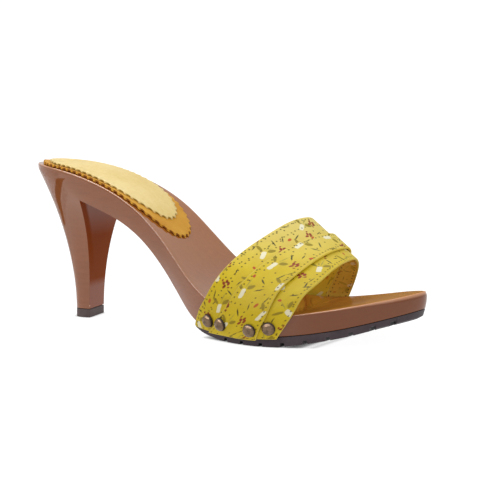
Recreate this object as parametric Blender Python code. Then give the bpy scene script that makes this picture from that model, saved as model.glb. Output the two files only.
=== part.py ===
# High-heeled wooden mule, right foot: one block of wood with a rubber forefoot sole and a heel tip,
# a two-layer heel sock with pinked edges and a three-band leather strap held by dome nails.
# The shape is worked out in millimetres, +X to the toe, +Y to the inner side of the foot, +Z up.

import math

import bmesh
import bpy
import numpy as np

MM = 0.001

# Driving dimensions
BACK_X = 3.0
TOE_X = 216.3
GAP = 0.3
BREAST_X = 41.0
TIP_HEIGHT = 4.2
TIP_OUTER_CORNER = (38.0, -8.4)
TIP_INNER_CORNER = (34.4, 9.4)
TIP_DEPTH = 9.8
TIP_FULLNESS = 0.72
# Taper powers of the heel in x and y, at its front corners and at its back
HEEL_CORNER_TAPER = (1.54, 2.75)
HEEL_BACK_TAPER = (1.94, 2.15)
HEEL_BACK_WALL = 0.92
SOLE_REAR_X = 114.2
SOLE_GROOVE_FIRST_X = 134.4
SOLE_GROOVE_PITCH = 10.25
SOLE_GROOVE_COUNT = 9
SOLE_GROOVE_WIDTH = 2.2
SOLE_GROOVE_FLOOR = 1.7
SOLE_GROOVE_DEPTH = 1.6
SOLE_STATION_STEP = 4.0
SOLE_STATION_CLEAR = 0.4
SOLE_TOE_REACHES = (3.0, 1.2, 0.3, 0.0)
SOLE_TOE_ROUND = 3.0
SOLE_TOE_START_X = 196.0
SOLE_TOE_FULL_X = 211.0
SOCK_BASE_THICKNESS = 1.0
SOCK_TOP_THICKNESS = 0.7
SOCK_PAD = 2.6
SOCK_PAD_FULLNESS = 0.75
TOOTH_PITCH = 3.7
TOOTH_DEPTH = 1.3
STRAP_THICKNESS = 1.4
BAND_STEP = 1.2
STUD_RADIUS = 3.2
STUD_HEIGHT = 2.8
STUD_EDGE = 0.5

# Mesh divisions
HEEL_STATIONS = 9
FRONT_STATIONS = 36
ACROSS = 10
WALL_ROWS = 3
HEEL_ROWS = 12
SOCK_ACROSS = 4
ARCH_ROWS = 26
STUD_SIDES = 14
STUD_BENDS = (30, 55, 75)
SOLE_BENDS = (0, 45, 90)
LOW_BAND_SHARES = (0.0, 0.33, 0.67, 0.97)
MIDDLE_BAND_SHARES = (0.0, 0.2, 0.4, 0.6, 0.8, 1.0)
FINE_STEPS = 400
SHARP_ANGLE = 40
# Points closer than this are one point
MERGE_STEP = 0.0005
# Least half width that a share across the footbed is measured in
LEAST_HALF = 0.1
# Small steps that directions are measured over: angle, station, share of the wall's height
TURN_STEP = 0.01
STATION_STEP = 1.0
WALL_SHARE_STEP = 0.1

# Footbed outline: station, outer edge, inner edge
OUTLINE = np.array([
    (3.0, 0.0, 0.0),
    (5.5, -7.2, 7.2),
    (11.0, -12.8, 12.6),
    (20.0, -17.8, 17.6),
    (44.0, -23.3, 22.8),
    (68.0, -24.2, 22.8),
    (92.0, -25.2, 23.2),
    (122.0, -35.2, 28.7),
    (152.0, -43.0, 34.2),
    (179.0, -35.4, 34.4),
    (198.0, -25.6, 28.4),
    (206.0, -18.0, 22.6),
    (211.5, -10.4, 16.8),
    (215.0, -3.0, 10.6),
    (216.3, 4.0, 4.0),
])

# Heights along the length: station, rim, lower edge of the wood, dish of the footbed
PROFILE = np.array([
    (3.0, 79.0, 67.0, 0.2),
    (20.0, 77.2, 66.0, 0.2),
    (41.0, 73.7, 60.9, 0.3),
    (56.0, 69.0, 56.0, 0.7),
    (68.0, 63.6, 50.8, 1.1),
    (80.0, 55.9, 42.5, 1.4),
    (92.0, 45.1, 29.8, 1.4),
    (100.0, 37.0, 20.3, 1.4),
    (110.0, 27.7, 9.4, 1.4),
    (116.0, 23.5, 6.1, 1.3),
    (122.0, 19.9, 5.1, 1.2),
    (137.0, 15.1, 4.7, 1.0),
    (152.0, 13.9, 4.6, 0.8),
    (166.0, 14.8, 5.1, 0.6),
    (179.0, 16.6, 6.7, 0.6),
    (198.0, 20.2, 10.6, 0.4),
    (216.3, 24.0, 15.7, 0.0),
])

# Side wall of the footbed: station, radius of the rim's round, inset of the lower edge
WALL = np.array([
    (186.0, 0.9, 2.4),
    (202.0, 1.4, 1.8),
    (212.0, 2.2, 0.8),
])

# Underside of the rubber sole: station, height
SOLE_BOTTOM = np.array([
    (114.2, 4.6),
    (118.2, 2.6),
    (125.4, 1.1),
    (132.5, 0.3),
    (137.0, 0.0),
    (160.0, 0.0),
    (169.0, 0.8),
    (179.0, 2.4),
    (190.0, 4.7),
    (198.0, 6.7),
    (208.0, 9.0),
    (216.3, 10.9),
])
SOLE_LAND = (137.0, 160.0)

# Strap over the foot, from the outer to the inner side: rear edge x, y, z and front edge x, y, z
STRAP_ARCH = np.array([
    (130.6, -36.0, 29.4, 174.7, -36.0, 23.0),
    (137.6, -27.8, 39.4, 178.6, -27.0, 29.0),
    (145.0, -16.8, 47.2, 180.0, -15.0, 33.6),
    (151.0, -2.0, 53.3, 179.6, -1.0, 35.6),
    (153.0, 13.0, 53.6, 177.6, 12.0, 35.0),
    (147.5, 24.5, 48.0, 174.0, 22.5, 30.6),
    (136.5, 31.2, 36.5, 169.2, 29.4, 23.0),
])
# Where the strap meets the footbed edge: rear x and front x at the lower edge, then at the rim
STRAP_OUTER_WALL = ((115.2, 163.6), (123.6, 170.2))
STRAP_INNER_WALL = ((114.5, 158.0), (122.5, 163.0))
STRAP_DROP = 0.6
# Middle band: share of the strap's length, shares of its width where the band starts and ends
BAND_EDGES = np.array([
    (0.0, 0.21, 0.805),
    (0.03, 0.26, 0.79),
    (0.10, 0.29, 0.765),
    (0.25, 0.33, 0.75),
    (0.40, 0.385, 0.775),
    (0.55, 0.45, 0.80),
    (0.75, 0.39, 0.785),
    (0.90, 0.30, 0.77),
    (0.97, 0.26, 0.79),
    (1.0, 0.21, 0.805),
])

# Heel sock layers: margins at the heel, the outer and the inner side, front tip station, round length
SOCK_BASE = (4.4, 1.2, 5.6, 93.2, 30.0)
SOCK_TOP = (9.4, 3.2, 6.2, 85.3, 30.0)
SOCK_HEEL_ROUND = 14.0
SOCK_TIP_POWER = 2.4
SOCK_LEAN = 2.5
SOCK_SPINE_END = 9.0

# Dome nails along the strap's outer and inner ends: station, height, steps of the band they hold
STUDS = (
    ("outer", ((126.8, 9.3, 0), (136.3, 8.9, 1), (152.3, 7.9, 1), (160.7, 9.1, 0))),
    ("inner", ((124.2, 9.6, 0), (133.2, 8.9, 1), (147.0, 7.9, 1), (155.7, 8.7, 0))),
)


def smooth(knots, values, x):
    """Value at x of a cubic curve through the knots, with slopes taken from their neighbours."""
    slopes = np.gradient(values, knots)
    i = int(np.clip(np.searchsorted(knots, x) - 1, 0, len(knots) - 2))
    span = knots[i + 1] - knots[i]
    t = (x - knots[i]) / span
    rise = values[i] * (1 + 2 * t) * (1 - t) ** 2 + values[i + 1] * t * t * (3 - 2 * t)
    return rise + span * (slopes[i] * t * (1 - t) ** 2 - slopes[i + 1] * t * t * (1 - t))


def turn(x):
    """Angle of a station, even steps of which crowd the stations at the round ends."""
    return math.acos(np.clip(1 - 2 * (x - BACK_X) / (TOE_X - BACK_X), -1, 1))


OUTLINE_TURNS = np.array([turn(x) for x in OUTLINE[:, 0]])


def edge_y(x, side):
    """Edge of the footbed at a station: side 0 is the outer one, side 1 the inner one."""
    return smooth(OUTLINE_TURNS, OUTLINE[:, 1 + side], turn(x))


def rim_z(x):
    return smooth(PROFILE[:, 0], PROFILE[:, 1], x)


def low_z(x):
    return smooth(PROFILE[:, 0], PROFILE[:, 2], x)


def rim_radius(x):
    return float(np.interp(x, WALL[:, 0], WALL[:, 1]))


def wall_inset(x):
    return float(np.interp(x, WALL[:, 0], WALL[:, 2]))


def footbed_z(x, y):
    """Height of the dished footbed."""
    outer, inner = edge_y(x, 0), edge_y(x, 1)
    half = max(0.5 * (inner - outer), LEAST_HALF)
    share = (y - 0.5 * (outer + inner)) / half
    dish = smooth(PROFILE[:, 0], PROFILE[:, 3], x)
    return rim_z(x) - dish * max(0.0, 1 - share * share)


def edge_point(angle, side):
    x = BACK_X + (TOE_X - BACK_X) * (1 - math.cos(angle)) / 2
    return np.array((x, edge_y(x, side)))


def edge_normal(angle, side):
    """Outward direction of the outline in plan."""
    if angle < TURN_STEP:
        return np.array((-1.0, 0.0))
    if angle > math.pi - TURN_STEP:
        return np.array((1.0, 0.0))
    along = edge_point(angle + TURN_STEP, side) - edge_point(angle - TURN_STEP, side)
    normal = np.array((along[1], -along[0])) * (1 if side == 0 else -1)
    return normal / np.linalg.norm(normal)


def wall_point(angle, side, share, out=0.0):
    """Point of the footbed's side wall: share 1 is under the rim's round, share 0 the lower edge."""
    plan = edge_point(angle, side)
    x = plan[0]
    top = rim_z(x) - rim_radius(x)
    z = low_z(x) + (top - low_z(x)) * share
    plan = plan + edge_normal(angle, side) * (out - wall_inset(x) * (1 - share) ** 2)
    return np.array((plan[0], plan[1], z))


class Shell:
    """Closed surface put together from patches that share their border points."""

    def __init__(self):
        self.index = {}
        self.points = []
        self.faces = []

    def vertex(self, point):
        key = tuple(int(round(c / MERGE_STEP)) for c in point)
        if key not in self.index:
            self.index[key] = len(self.points)
            self.points.append(tuple(float(c) for c in point))
        return self.index[key]

    def face(self, corners):
        ids = []
        for point in corners:
            vertex = self.vertex(point)
            if vertex not in ids:
                ids.append(vertex)
        if len(ids) > 2:
            self.faces.append(ids)

    def patch(self, rows):
        for upper, lower in zip(rows[:-1], rows[1:]):
            for j in range(len(upper) - 1):
                self.face((upper[j], upper[j + 1], lower[j + 1], lower[j]))


def across(start, end, count):
    return [start + (end - start) * i / count for i in range(count + 1)]


def tip_point(turn_share):
    """Point of the heel tip's outline: 0 is the outer front corner, 0.5 the back, 1 the inner one."""
    outer, inner = np.array(TIP_OUTER_CORNER), np.array(TIP_INNER_CORNER)
    half = (inner - outer) / 2
    back = np.array((-half[1], half[0])) / np.linalg.norm(half) * TIP_DEPTH
    angle = math.pi * turn_share
    wide = math.copysign(abs(math.cos(angle)) ** TIP_FULLNESS, math.cos(angle))
    deep = math.sin(angle) ** TIP_FULLNESS if 0 < turn_share < 1 else 0.0
    return (outer + inner) / 2 - half * wide + back * deep


def station_turns():
    """Angles of the stations: the heel's, up to the breast, then those of the front."""
    breast = turn(BREAST_X)
    heel = [breast * i / HEEL_STATIONS for i in range(HEEL_STATIONS)]
    front = [breast + (math.pi - breast) * i / FRONT_STATIONS for i in range(FRONT_STATIONS + 1)]
    return heel + front


def rim_point(angle, side, round_share):
    """Point of the rim's rounded edge: 0 is on the footbed, 1 on the side wall."""
    bend = 0.5 * math.pi * round_share
    edge = edge_point(angle, side)
    radius = rim_radius(edge[0])
    plan = edge - edge_normal(angle, side) * radius * (1 - math.sin(bend))
    crown = footbed_z(*plan) if round_share == 0 else rim_z(edge[0])
    return np.array((plan[0], plan[1], crown - radius * (1 - math.cos(bend))))


def heel_column(station, side):
    """Column of the heel from under the rim to its foot, waisted like a turned spindle."""
    angle = station_turns()[station]
    around = 0.5 * (1 - station / HEEL_STATIONS)
    swell = math.sin(math.pi * around)
    foot_share = around if side == 0 else 1 - around
    foot = tip_point(foot_share)
    wall_drop = (1 - HEEL_BACK_WALL * swell) / WALL_ROWS
    top_rows = [wall_point(angle, side, 1 - wall_drop * i) for i in range(WALL_ROWS + 1)]
    start = top_rows[-1]
    corner, back = np.array(HEEL_CORNER_TAPER), np.array(HEEL_BACK_TAPER)
    power = corner + (back - corner) * swell
    column = list(top_rows)
    for row in range(1, HEEL_ROWS + 1):
        drop = row / HEEL_ROWS
        plan = foot + (start[:2] - foot) * (1 - drop) ** power
        z = start[2] + (TIP_HEIGHT + GAP - start[2]) * drop
        column.append(np.array((plan[0], plan[1], z)))
    return column


def wooden_body():
    shell = Shell()
    turns = station_turns()
    last = len(turns) - 1
    shell.patch([
        [np.array((p[0], p[1], footbed_z(p[0], p[1])))
         for p in across(rim_point(a, 0, 0.0)[:2], rim_point(a, 1, 0.0)[:2], ACROSS)]
        for a in turns])
    for side in (0, 1):
        shell.patch([[rim_point(a, side, share) for share in (0.0, 0.5, 1.0)] for a in turns])
        shell.patch([[wall_point(a, side, 1 - i / WALL_ROWS) for i in range(WALL_ROWS + 1)]
                     for a in turns[HEEL_STATIONS:]])
        shell.patch([heel_column(i, side) for i in range(HEEL_STATIONS + 1)])
    outer = heel_column(HEEL_STATIONS, 0)[WALL_ROWS:]
    inner = heel_column(HEEL_STATIONS, 1)[WALL_ROWS:]
    shell.patch([across(a, b, ACROSS) for a, b in zip(outer, inner)])
    shell.patch([across(wall_point(turns[i], 0, 0.0), wall_point(turns[i], 1, 0.0), ACROSS)
                 for i in range(HEEL_STATIONS, last + 1)])
    shell.patch([across(heel_column(i, 0)[-1], heel_column(i, 1)[-1], ACROSS)
                 for i in range(HEEL_STATIONS + 1)])
    return shell


def sole_stations():
    """Stations of the rubber sole with each groove's rims and floor: station, groove share."""
    dense = np.linspace(SOLE_GROOVE_FIRST_X, TOE_X, FINE_STEPS)
    edge = np.array([wall_point(turn(x), 0, 0.0)[:2] for x in dense])
    run = np.concatenate([[0.0], np.cumsum(np.linalg.norm(np.diff(edge, axis=0), axis=1))])
    middles = [float(np.interp(SOLE_GROOVE_PITCH * i, run, dense)) for i in range(SOLE_GROOVE_COUNT)]
    places = []
    for middle in middles:
        for reach, share in ((SOLE_GROOVE_WIDTH, 0.0), (SOLE_GROOVE_FLOOR, 1.0)):
            places.append((middle - reach / 2, share))
            places.append((middle + reach / 2, share))
    grooved = [x for x, share in places]
    plain = list(np.arange(SOLE_REAR_X, SOLE_GROOVE_FIRST_X - SOLE_GROOVE_WIDTH, SOLE_STATION_STEP))
    plain += SOLE_LAND
    plain += [(a + b) / 2 for a, b in zip(middles[:-1], middles[1:])]
    plain += [TOE_X - reach for reach in SOLE_TOE_REACHES]
    places += [(x, 0.0) for x in plain if min(abs(x - g) for g in grooved) > SOLE_STATION_CLEAR]
    return sorted(places)


def sole_bottom_z(x):
    if SOLE_LAND[0] <= x <= SOLE_LAND[1]:
        return 0.0
    return max(0.0, smooth(SOLE_BOTTOM[:, 0], SOLE_BOTTOM[:, 1], x))


def outsole():
    """Rubber sole under the forefoot, with its lower edge rounded off round the toe."""
    shell = Shell()
    levels = [[] for bend in SOLE_BENDS]
    for x, groove in sole_stations():
        top_z = low_z(x) - GAP
        bottom_z = sole_bottom_z(x) + SOLE_GROOVE_DEPTH * groove
        round_off = float(np.interp(x, (SOLE_TOE_START_X, SOLE_TOE_FULL_X), (0.0, SOLE_TOE_ROUND)))
        for level, bend in zip(levels, np.radians(SOLE_BENDS)):
            inset = round_off * (1 - math.cos(bend))
            z = bottom_z + (top_z - bottom_z) * (1 - math.sin(bend))
            ends = [wall_point(turn(x), side, 0.0, -inset) for side in (0, 1)]
            level.append([np.array((p[0], p[1], z)) for p in across(ends[0], ends[1], ACROSS)])
    shell.patch(levels[0])
    shell.patch(levels[-1])
    for j in (0, ACROSS):
        shell.patch([[row[j] for row in level] for level in levels])
    shell.patch([level[0] for level in levels])
    return shell


def heel_tip():
    shell = Shell()
    steps = 2 * HEEL_STATIONS
    ring = [tip_point(i / steps) for i in range(steps + 1)]
    levels = [[np.array((p[0], p[1], z)) for p in ring] for z in (TIP_HEIGHT, 0.0)]
    shell.patch(levels)
    shell.patch([[level[0], level[-1]] for level in levels])
    for level in levels:
        shell.patch([[level[i], level[steps - i]] for i in range(HEEL_STATIONS + 1)])
    return shell


def sock_edge(x, side, layer):
    """Edge of a heel sock layer: it follows the heel and closes to a round tongue in front."""
    heel_margin, outer_margin, inner_margin, front, round_length = layer
    y = edge_y(x, side)
    inset = outer_margin if side == 0 else -inner_margin
    share = np.clip((x - (front - round_length)) / round_length, 0, 1)
    middle = 0.5 * (edge_y(x, 0) + edge_y(x, 1)) - SOCK_LEAN * share
    width = math.sqrt(max(0.0, 1 - share ** SOCK_TIP_POWER))
    heel_share = np.clip((x - heel_margin) / SOCK_HEEL_ROUND, 0, 1)
    heel_width = math.sqrt(heel_share * (2 - heel_share))
    return middle + (y + inset - middle) * width * heel_width


def sock_spine(x, layer):
    """Point on the middle line of a sock layer that the row at this station bends towards."""
    heel_margin, front = layer[0], layer[3]
    share = (x - heel_margin) / (front - heel_margin)
    spine_x = heel_margin + SOCK_SPINE_END + (front - heel_margin - 2 * SOCK_SPINE_END) * share
    return np.array((spine_x, 0.5 * (sock_edge(spine_x, 0, layer) + sock_edge(spine_x, 1, layer))))


def pad_rise(x, y, layer, pad):
    """Height of the padding: full along the middle line, nothing at the edges."""
    heel_margin, front = layer[0], layer[3]
    filled = math.sin(math.pi * (x - heel_margin) / (front - heel_margin))
    outer, inner = (sock_edge(x, side, layer) for side in (0, 1))
    share = 2 * (y - outer) / (inner - outer) - 1
    return pad * filled ** SOCK_PAD_FULLNESS * max(0.0, 1 - share * share)


def sock_layer(layer, lift, thickness, pad):
    """Sock layer with pinked edges: every other edge point lies one tooth depth further in."""
    shell = Shell()
    heel_margin, front = layer[0], layer[3]
    length = front - heel_margin
    bends = [math.pi * i / FINE_STEPS for i in range(FINE_STEPS + 1)]
    dense = [heel_margin + length * (1 - math.cos(bend)) / 2 for bend in bends]
    path = np.array([(x, sock_edge(x, 0, layer)) for x in dense])
    run = np.concatenate([[0.0], np.cumsum(np.linalg.norm(np.diff(path, axis=0), axis=1))])
    teeth = int(round(run[-1] / TOOTH_PITCH))
    stations = [float(np.interp(run[-1] * i / (2 * teeth), run, dense)) for i in range(2 * teeth + 1)]
    rows = []
    for i, x in enumerate(stations):
        ends = []
        for side in (0, 1):
            here = np.array((x, sock_edge(x, side, layer)))
            if i % 2:
                near = [np.array((s, sock_edge(s, side, layer))) for s in (stations[i - 1], stations[i + 1])]
                along = near[1] - near[0]
                inward = np.array((-along[1], along[0])) / np.linalg.norm(along) * (1 if side == 0 else -1)
                here = here + inward * TOOTH_DEPTH
            ends.append(here)
        spine = sock_spine(x, layer)
        half = SOCK_ACROSS // 2
        rows.append(across(ends[0], spine, half) + across(spine, ends[1], half)[1:])
    under, over = [], []
    for row in rows:
        under.append([np.array((p[0], p[1], footbed_z(p[0], p[1]) + lift)) for p in row])
        rises = [0.0] + [pad_rise(p[0], p[1], layer, pad) for p in row[1:-1]] + [0.0]
        over.append([p + np.array((0.0, 0.0, thickness + rise)) for p, rise in zip(under[-1], rises)])
    levels = [under, over]
    for level in levels:
        shell.patch(level)
    for j in (0, SOCK_ACROSS):
        shell.patch([[row[j] for row in level] for level in levels])
    return shell


def strap_wall(side, share, width_share):
    """Inner face of the strap on the footbed's side wall, from its lower edge (0) to the rim (1)."""
    wall = STRAP_OUTER_WALL if side == 0 else STRAP_INNER_WALL
    rear = wall[0][0] + (wall[1][0] - wall[0][0]) * share
    front = wall[0][1] + (wall[1][1] - wall[0][1]) * share
    x = rear + (front - rear) * width_share
    point = wall_point(turn(x), side, share, GAP)
    return point - np.array((0.0, 0.0, STRAP_DROP * (1 - share)))


def strap_section(width_share):
    """Inner face of the strap across the foot at one share of its width."""
    rise = [strap_wall(0, i / WALL_ROWS, width_share) for i in range(WALL_ROWS + 1)]
    fall = [strap_wall(1, 1 - i / WALL_ROWS, width_share) for i in range(WALL_ROWS + 1)]
    arch = [row[:3] + (row[3:] - row[:3]) * width_share for row in STRAP_ARCH]
    control = np.array([rise[-2], rise[-1]] + arch + [fall[0], fall[1]])
    run = np.concatenate([[0.0], np.cumsum(np.linalg.norm(np.diff(control, axis=0), axis=1))])
    start, end = run[1], run[-2]
    crown = []
    for i in range(1, ARCH_ROWS):
        at = start + (end - start) * i / ARCH_ROWS
        crown.append(np.array([smooth(run, control[:, k], at) for k in range(3)]))
    return rise + crown + fall


def strap_columns():
    """Columns of the strap from rear to front: share between its band edges, band, outer offset."""
    low, high = STRAP_THICKNESS, STRAP_THICKNESS + BAND_STEP
    columns = [(0, share, low) for share in LOW_BAND_SHARES]
    columns += [(1, share, high) for share in MIDDLE_BAND_SHARES]
    columns += [(2, 1 - share, low) for share in reversed(LOW_BAND_SHARES)]
    return columns


def upper_strap():
    shell = Shell()
    rows = 2 * (WALL_ROWS + 1) + ARCH_ROWS - 1
    inner = []
    for band, share, offset in strap_columns():
        column = []
        for row in range(rows):
            start, end = (smooth(BAND_EDGES[:, 0], BAND_EDGES[:, k], row / (rows - 1)) for k in (1, 2))
            borders = (0.0, start, end, 1.0)
            width_share = borders[band] + (borders[band + 1] - borders[band]) * share
            column.append(strap_section(width_share)[row])
        inner.append(column)
    inner = np.array(inner)
    along = np.gradient(inner, axis=1)
    wide = np.gradient(inner, axis=0)
    normal = np.cross(wide, along)
    normal /= np.linalg.norm(normal, axis=2, keepdims=True)
    offsets = np.array([offset for band, share, offset in strap_columns()])
    outer = inner + normal * offsets[:, None, None]
    shell.patch(outer)
    shell.patch(inner)
    for j in (0, -1):
        shell.patch([outer[j], inner[j]])
        shell.patch([outer[:, j], inner[:, j]])
    return shell


def stud(side, x, z, steps):
    """Dome nail head standing on the strap's outer face."""
    shell = Shell()
    share = (z - low_z(x)) / (rim_z(x) - rim_radius(x) - low_z(x))
    base = STRAP_THICKNESS + BAND_STEP * steps + GAP * 2
    foot = wall_point(turn(x), side, share, base)
    upper = wall_point(turn(x), side, share + WALL_SHARE_STEP, base)
    ahead = wall_point(turn(x + STATION_STEP), side, share, base)
    rise = (upper - foot) / np.linalg.norm(upper - foot)
    ahead = (ahead - foot) - rise * np.dot(ahead - foot, rise)
    ahead /= np.linalg.norm(ahead)
    out = np.cross(ahead, rise) * (1 if side == 0 else -1)
    profile = [(0.0, 0.0), (STUD_RADIUS, 0.0), (STUD_RADIUS, STUD_EDGE)]
    for bend in STUD_BENDS:
        turned = math.radians(bend)
        profile.append((STUD_RADIUS * math.cos(turned),
                        STUD_EDGE + (STUD_HEIGHT - STUD_EDGE) * math.sin(turned)))
    profile.append((0.0, STUD_HEIGHT))
    rows = []
    for radius, height in profile:
        ring = []
        for i in range(STUD_SIDES + 1):
            angle = 2 * math.pi * (i % STUD_SIDES) / STUD_SIDES
            spoke = ahead * math.cos(angle) + rise * math.sin(angle)
            ring.append(foot + spoke * radius + out * height)
        rows.append(ring)
    shell.patch(rows)
    return shell


def material(name, colour, roughness, metallic=0.0):
    made = bpy.data.materials.new(name)
    made.use_nodes = True
    shader = made.node_tree.nodes["Principled BSDF"]
    shader.inputs["Base Color"].default_value = (*colour, 1.0)
    shader.inputs["Roughness"].default_value = roughness
    shader.inputs["Metallic"].default_value = metallic
    return made


def add_object(name, shell, look, centre):
    mesh = bpy.data.meshes.new(name)
    places = [tuple((np.array(p) - centre) * MM) for p in shell.points]
    mesh.from_pydata(places, [], shell.faces)
    work = bmesh.new()
    work.from_mesh(mesh)
    bmesh.ops.recalc_face_normals(work, faces=work.faces)
    work.to_mesh(mesh)
    work.free()
    mesh.shade_smooth()
    mesh.set_sharp_from_angle(angle=math.radians(SHARP_ANGLE))
    mesh.materials.append(look)
    made = bpy.data.objects.new(name, mesh)
    bpy.context.scene.collection.objects.link(made)


def build():
    for old in list(bpy.data.objects):
        bpy.data.objects.remove(old, do_unlink=True)
    wood = material("lacquered_wood", (0.29, 0.13, 0.07), 0.18)
    rubber = material("sole_rubber", (0.07, 0.05, 0.055), 0.7)
    tip_rubber = material("tip_rubber", (0.06, 0.04, 0.04), 0.6)
    amber = material("amber_suede", (0.58, 0.28, 0.03), 0.85)
    cream = material("cream_leather", (0.83, 0.64, 0.28), 0.6)
    leather = material("printed_leather", (0.62, 0.47, 0.03), 0.55)
    metal = material("antique_brass", (0.25, 0.18, 0.14), 0.35, 1.0)
    top_lift = 2 * GAP + SOCK_BASE_THICKNESS
    pieces = [
        ("wooden_body", wooden_body(), wood),
        ("outsole", outsole(), rubber),
        ("heel_tip", heel_tip(), tip_rubber),
        ("heel_sock_base", sock_layer(SOCK_BASE, GAP, SOCK_BASE_THICKNESS, 0.0), amber),
        ("heel_sock_top", sock_layer(SOCK_TOP, top_lift, SOCK_TOP_THICKNESS, SOCK_PAD), cream),
        ("upper_strap", upper_strap(), leather),
    ]
    for side, (side_name, places) in enumerate(STUDS):
        for number, (x, z, steps) in enumerate(places, 1):
            pieces.append((f"stud_{side_name}_{number}", stud(side, x, z, steps), metal))
    points = np.array([p for name, shell, look in pieces for p in shell.points])
    low, high = points.min(axis=0), points.max(axis=0)
    centre = np.array(((low[0] + high[0]) / 2, (low[1] + high[1]) / 2, 0.0))
    for name, shell, look in pieces:
        add_object(name, shell, look, centre)


build()
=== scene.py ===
import math

import bpy
import numpy as np
from mathutils import Matrix, Vector
from mathutils.kdtree import KDTree


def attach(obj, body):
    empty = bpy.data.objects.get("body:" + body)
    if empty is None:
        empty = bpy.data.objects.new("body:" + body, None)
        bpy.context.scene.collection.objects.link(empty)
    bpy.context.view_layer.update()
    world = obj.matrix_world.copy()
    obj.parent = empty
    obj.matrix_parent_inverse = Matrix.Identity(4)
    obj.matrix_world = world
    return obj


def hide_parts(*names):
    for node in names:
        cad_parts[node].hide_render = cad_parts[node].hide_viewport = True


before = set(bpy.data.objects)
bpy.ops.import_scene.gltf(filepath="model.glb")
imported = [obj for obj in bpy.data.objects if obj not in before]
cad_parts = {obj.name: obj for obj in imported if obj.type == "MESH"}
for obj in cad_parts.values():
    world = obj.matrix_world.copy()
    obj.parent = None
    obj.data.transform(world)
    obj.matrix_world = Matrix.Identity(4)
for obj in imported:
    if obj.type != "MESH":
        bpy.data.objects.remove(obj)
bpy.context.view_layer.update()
mm = 0.001
print("frame loaded:", len(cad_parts), "nodes")


# handling

copyShape = {"mergeStep": 0.002, "quadBend": 40, "quadSkew": 60}  # mm, degrees, degrees


def only(piece):
    bpy.ops.object.select_all(action="DESELECT")
    piece.select_set(True)
    bpy.context.view_layer.objects.active = piece


def applyModifier(piece, kind, **settings):
    only(piece)
    made = piece.modifiers.new(kind.lower(), kind)
    for key, value in settings.items():
        setattr(made, key, value)
    bpy.ops.object.modifier_apply(modifier=made.name)


def roundEdges(piece, angle, width, segments, **settings):
    applyModifier(piece, "BEVEL", limit_method="ANGLE", angle_limit=math.radians(angle), width=width * mm,
                  segments=segments, use_clamp_overlap=True, **settings)


def subdivide(piece, levels):
    applyModifier(piece, "SUBSURF", levels=levels, render_levels=levels)


def copyOfNode(nodeName, pieceName):
    piece = bpy.data.objects.new(pieceName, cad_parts[nodeName].data.copy())
    bpy.context.scene.collection.objects.link(piece)
    piece.data.materials.clear()
    only(piece)
    bpy.ops.mesh.customdata_custom_splitnormals_clear()
    bpy.ops.object.mode_set(mode="EDIT")
    bpy.ops.mesh.select_all(action="SELECT")
    bpy.ops.mesh.remove_doubles(threshold=copyShape["mergeStep"] * mm)
    bpy.ops.mesh.tris_convert_to_quads(face_threshold=math.radians(copyShape["quadBend"]),
                                       shape_threshold=math.radians(copyShape["quadSkew"]))
    bpy.ops.object.mode_set(mode="OBJECT")
    return piece


def dress(piece, looks):
    for look in looks:
        piece.data.materials.append(look)


def settle(piece, nodes):
    only(piece)
    bpy.ops.object.shade_smooth()
    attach(piece, "root")
    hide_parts(*nodes)


# shader expressions

class Wire:
    def __init__(self, tree, socket=None):
        self.tree = tree
        self.socket = socket

    def node(self, kind, settings, inputs, output=0):
        made = self.tree.nodes.new(kind)
        for key, value in settings.items():
            setattr(made, key, value)
        for key, value in inputs.items():
            if isinstance(value, Wire):
                self.tree.links.new(value.socket, made.inputs[key])
            else:
                made.inputs[key].default_value = value
        return Wire(self.tree, made.outputs[output])

    def maths(self, operation, first, second=0.0):
        return self.node("ShaderNodeMath", {"operation": operation}, {0: first, 1: second})

    def __add__(self, other):
        return self.maths("ADD", self, other)

    def __radd__(self, other):
        return self.maths("ADD", other, self)

    def __sub__(self, other):
        return self.maths("SUBTRACT", self, other)

    def __rsub__(self, other):
        return self.maths("SUBTRACT", other, self)

    def __mul__(self, other):
        return self.maths("MULTIPLY", self, other)

    def __rmul__(self, other):
        return self.maths("MULTIPLY", other, self)

    def __or__(self, other):
        return self.maths("MAXIMUM", self, other)

    def __ror__(self, other):
        return self.maths("MAXIMUM", other, self)

    def parts(self):
        split = self.node("ShaderNodeSeparateXYZ", {}, {"Vector": self}).socket.node
        return [Wire(self.tree, output) for output in split.outputs]

    def over(self, low, high, start=0.0, end=1.0):
        return self.node("ShaderNodeMapRange", {"clamp": True},
                         {"Value": self, "From Min": low, "From Max": high, "To Min": start, "To Max": end})

    def blend(self, first, second):
        return self.node("ShaderNodeMix", {"data_type": "RGBA"}, {0: self, 6: first, 7: second}, 2)


def tint(red, green, blue):  # a screen colour, 0 to 255, as linear light
    parts = [c / 255 for c in (red, green, blue)]
    return tuple(c / 12.92 if c <= 0.04045 else ((c + 0.055) / 1.055) ** 2.4 for c in parts) + (1.0,)


def newFinish(name, **constants):
    made = bpy.data.materials.new(name)
    made.use_nodes = True
    shader = made.node_tree.nodes["Principled BSDF"]
    for key, value in constants.items():
        shader.inputs[key.replace("_", " ")].default_value = value
    return made, Wire(made.node_tree)


def feed(material, **wires):
    shader = material.node_tree.nodes["Principled BSDF"]
    for key, wire in wires.items():
        material.node_tree.links.new(wire.socket, shader.inputs[key.replace("_", " ")])


def objectPlace(start):
    return start.node("ShaderNodeTexCoord", {}, {}, "Object")


def mapPlace(start, name):
    return start.node("ShaderNodeUVMap", {"uv_map": name}, {}, "UV")


def attribute(start, name):
    return start.node("ShaderNodeAttribute", {"attribute_name": name}, {}, "Fac")


def stretched(start, place, scale):
    return start.node("ShaderNodeMapping", {"vector_type": "POINT"}, {"Vector": place, "Scale": scale})


def noise(start, place, scale, detail, roughness):
    return start.node("ShaderNodeTexNoise", {"noise_dimensions": "3D"},
                      {"Vector": place, "Scale": scale, "Detail": detail, "Roughness": roughness}, "Fac")


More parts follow.
